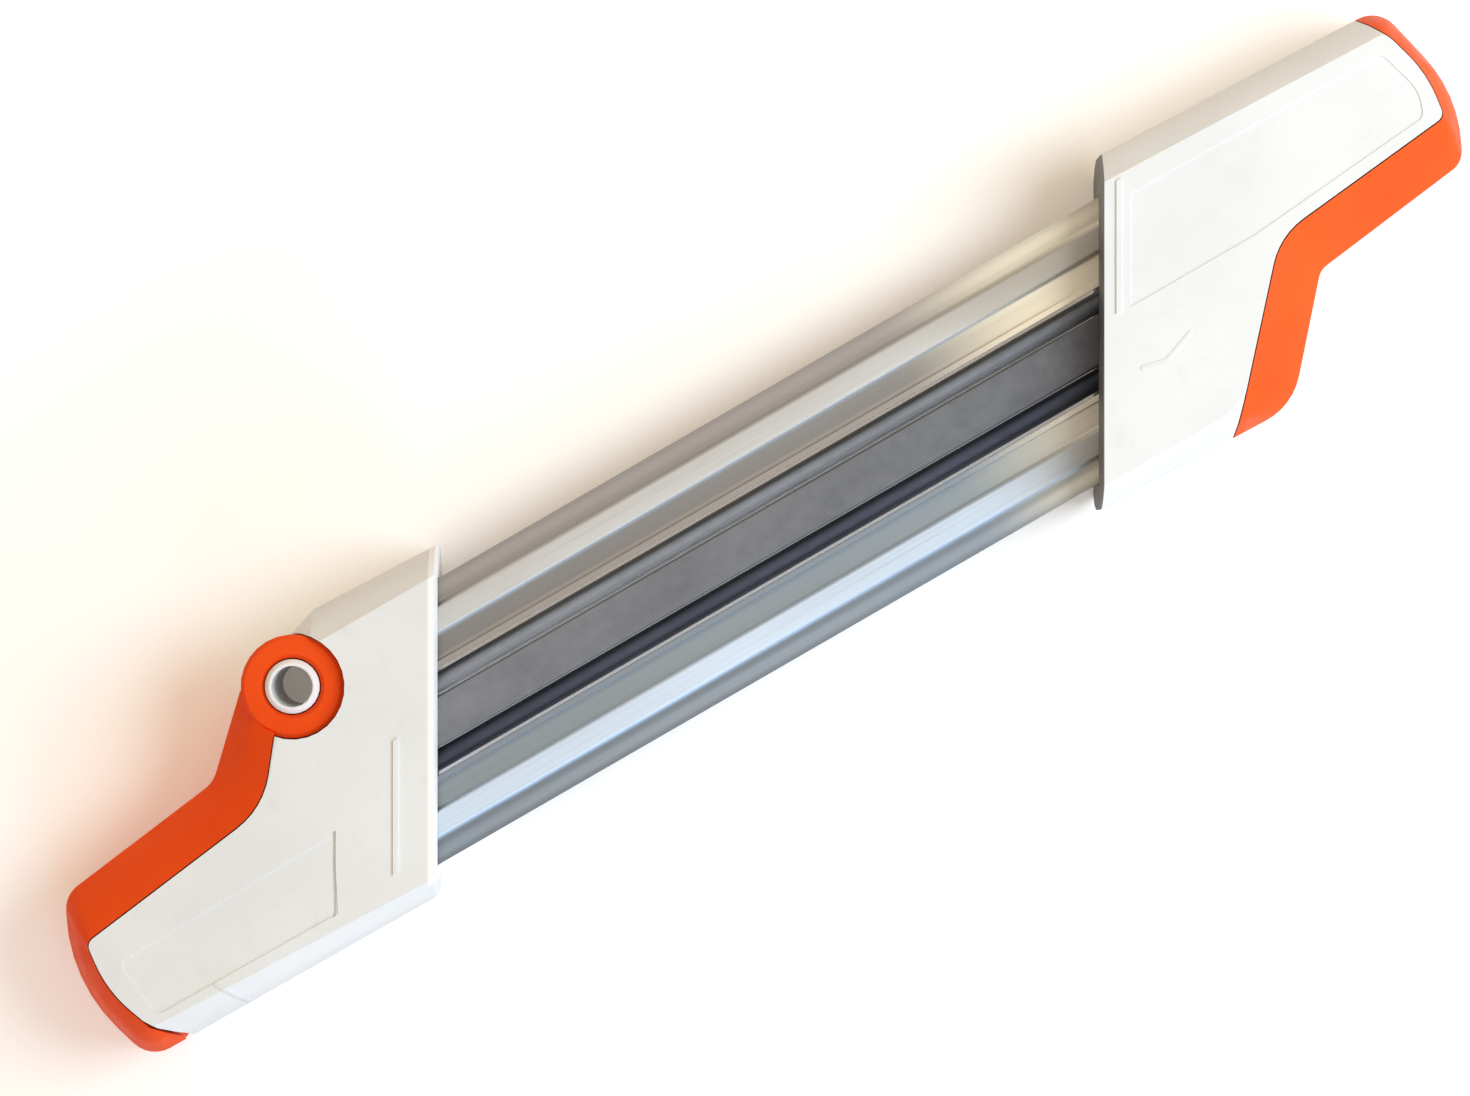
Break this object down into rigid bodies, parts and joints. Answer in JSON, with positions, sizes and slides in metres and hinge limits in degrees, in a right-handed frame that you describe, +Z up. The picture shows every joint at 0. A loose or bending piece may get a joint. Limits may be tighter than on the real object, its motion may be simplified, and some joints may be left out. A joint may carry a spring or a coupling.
{
  "type": "chainsaw file guide",
  "caption": "Two-handled file guide for saw chain: guide rails, two round files and a flat file between slanted handles, with a swinging lock lever.",
  "frame": {"origin": "centre of the part on the floor plane under its two handles", "axes": "+X along the files to the fixed handle, +Y to the side of the lock lever's ring, +Z up"},
  "size_m": [0.3814, 0.0734, 0.0345],
  "materials": {
    "white_plastic": "fine moulded texture",
    "orange_trim": "satin soft-touch plastic",
    "orange_lever": "satin moulded plastic",
    "seat_plastic": "matte",
    "rubber": "matte",
    "rail_steel": "polished along its length",
    "file_steel": "cut teeth",
    "screw_steel": "zinc plated"
  },
  "bodies": {
    "guide": {"fixed_handle_top": "white_plastic", "fixed_handle_bottom": "white_plastic", "fixed_grip_trim": "orange_trim", "fixed_file_seat": "seat_plastic", "fixed_buffer_flat": "rubber", "fixed_buffer_round_1": "rubber", "fixed_buffer_round_2": "rubber", "fixed_screw_1": "screw_steel", "fixed_screw_2": "screw_steel", "fixed_screw_3": "screw_steel", "fixed_screw_4": "screw_steel", "rail_pin_1": "screw_steel", "rail_pin_2": "screw_steel", "rail_pin_3": "screw_steel", "rail_pin_4": "screw_steel", "release_handle_top": "white_plastic", "release_handle_bottom": "white_plastic", "pivot_sleeve": "white_plastic", "release_file_seat": "seat_plastic", "release_buffer_flat": "rubber", "release_buffer_round_1": "rubber", "release_buffer_round_2": "rubber", "release_screw_1": "screw_steel", "release_screw_2": "screw_steel", "release_screw_3": "screw_steel", "guide_rail_locked": "rail_steel", "guide_rail_plain": "rail_steel", "flat_file": "file_steel"},
    "lever": {"lock_lever": "orange_lever"},
    "round_file_a": {"round_file_1": "file_steel"},
    "round_file_b": {"round_file_2": "file_steel"}
  },
  "joints": [
    {"name": "lever_swing", "type": "hinge", "parent": "guide", "child": "lever", "pos_m": [-0.11314, 0.02337, 0], "axis": [0, 0, -1], "range_deg": [0, 85]},
    {"name": "round_file_turn_a", "type": "hinge", "parent": "guide", "child": "round_file_a", "pos_m": [0, 0.00714, 0.01406], "axis": [1, 0, 0], "continuous": true},
    {"name": "round_file_turn_b", "type": "hinge", "parent": "guide", "child": "round_file_b", "pos_m": [0, -0.00866, 0.01406], "axis": [1, 0, 0], "continuous": true}
  ]
}
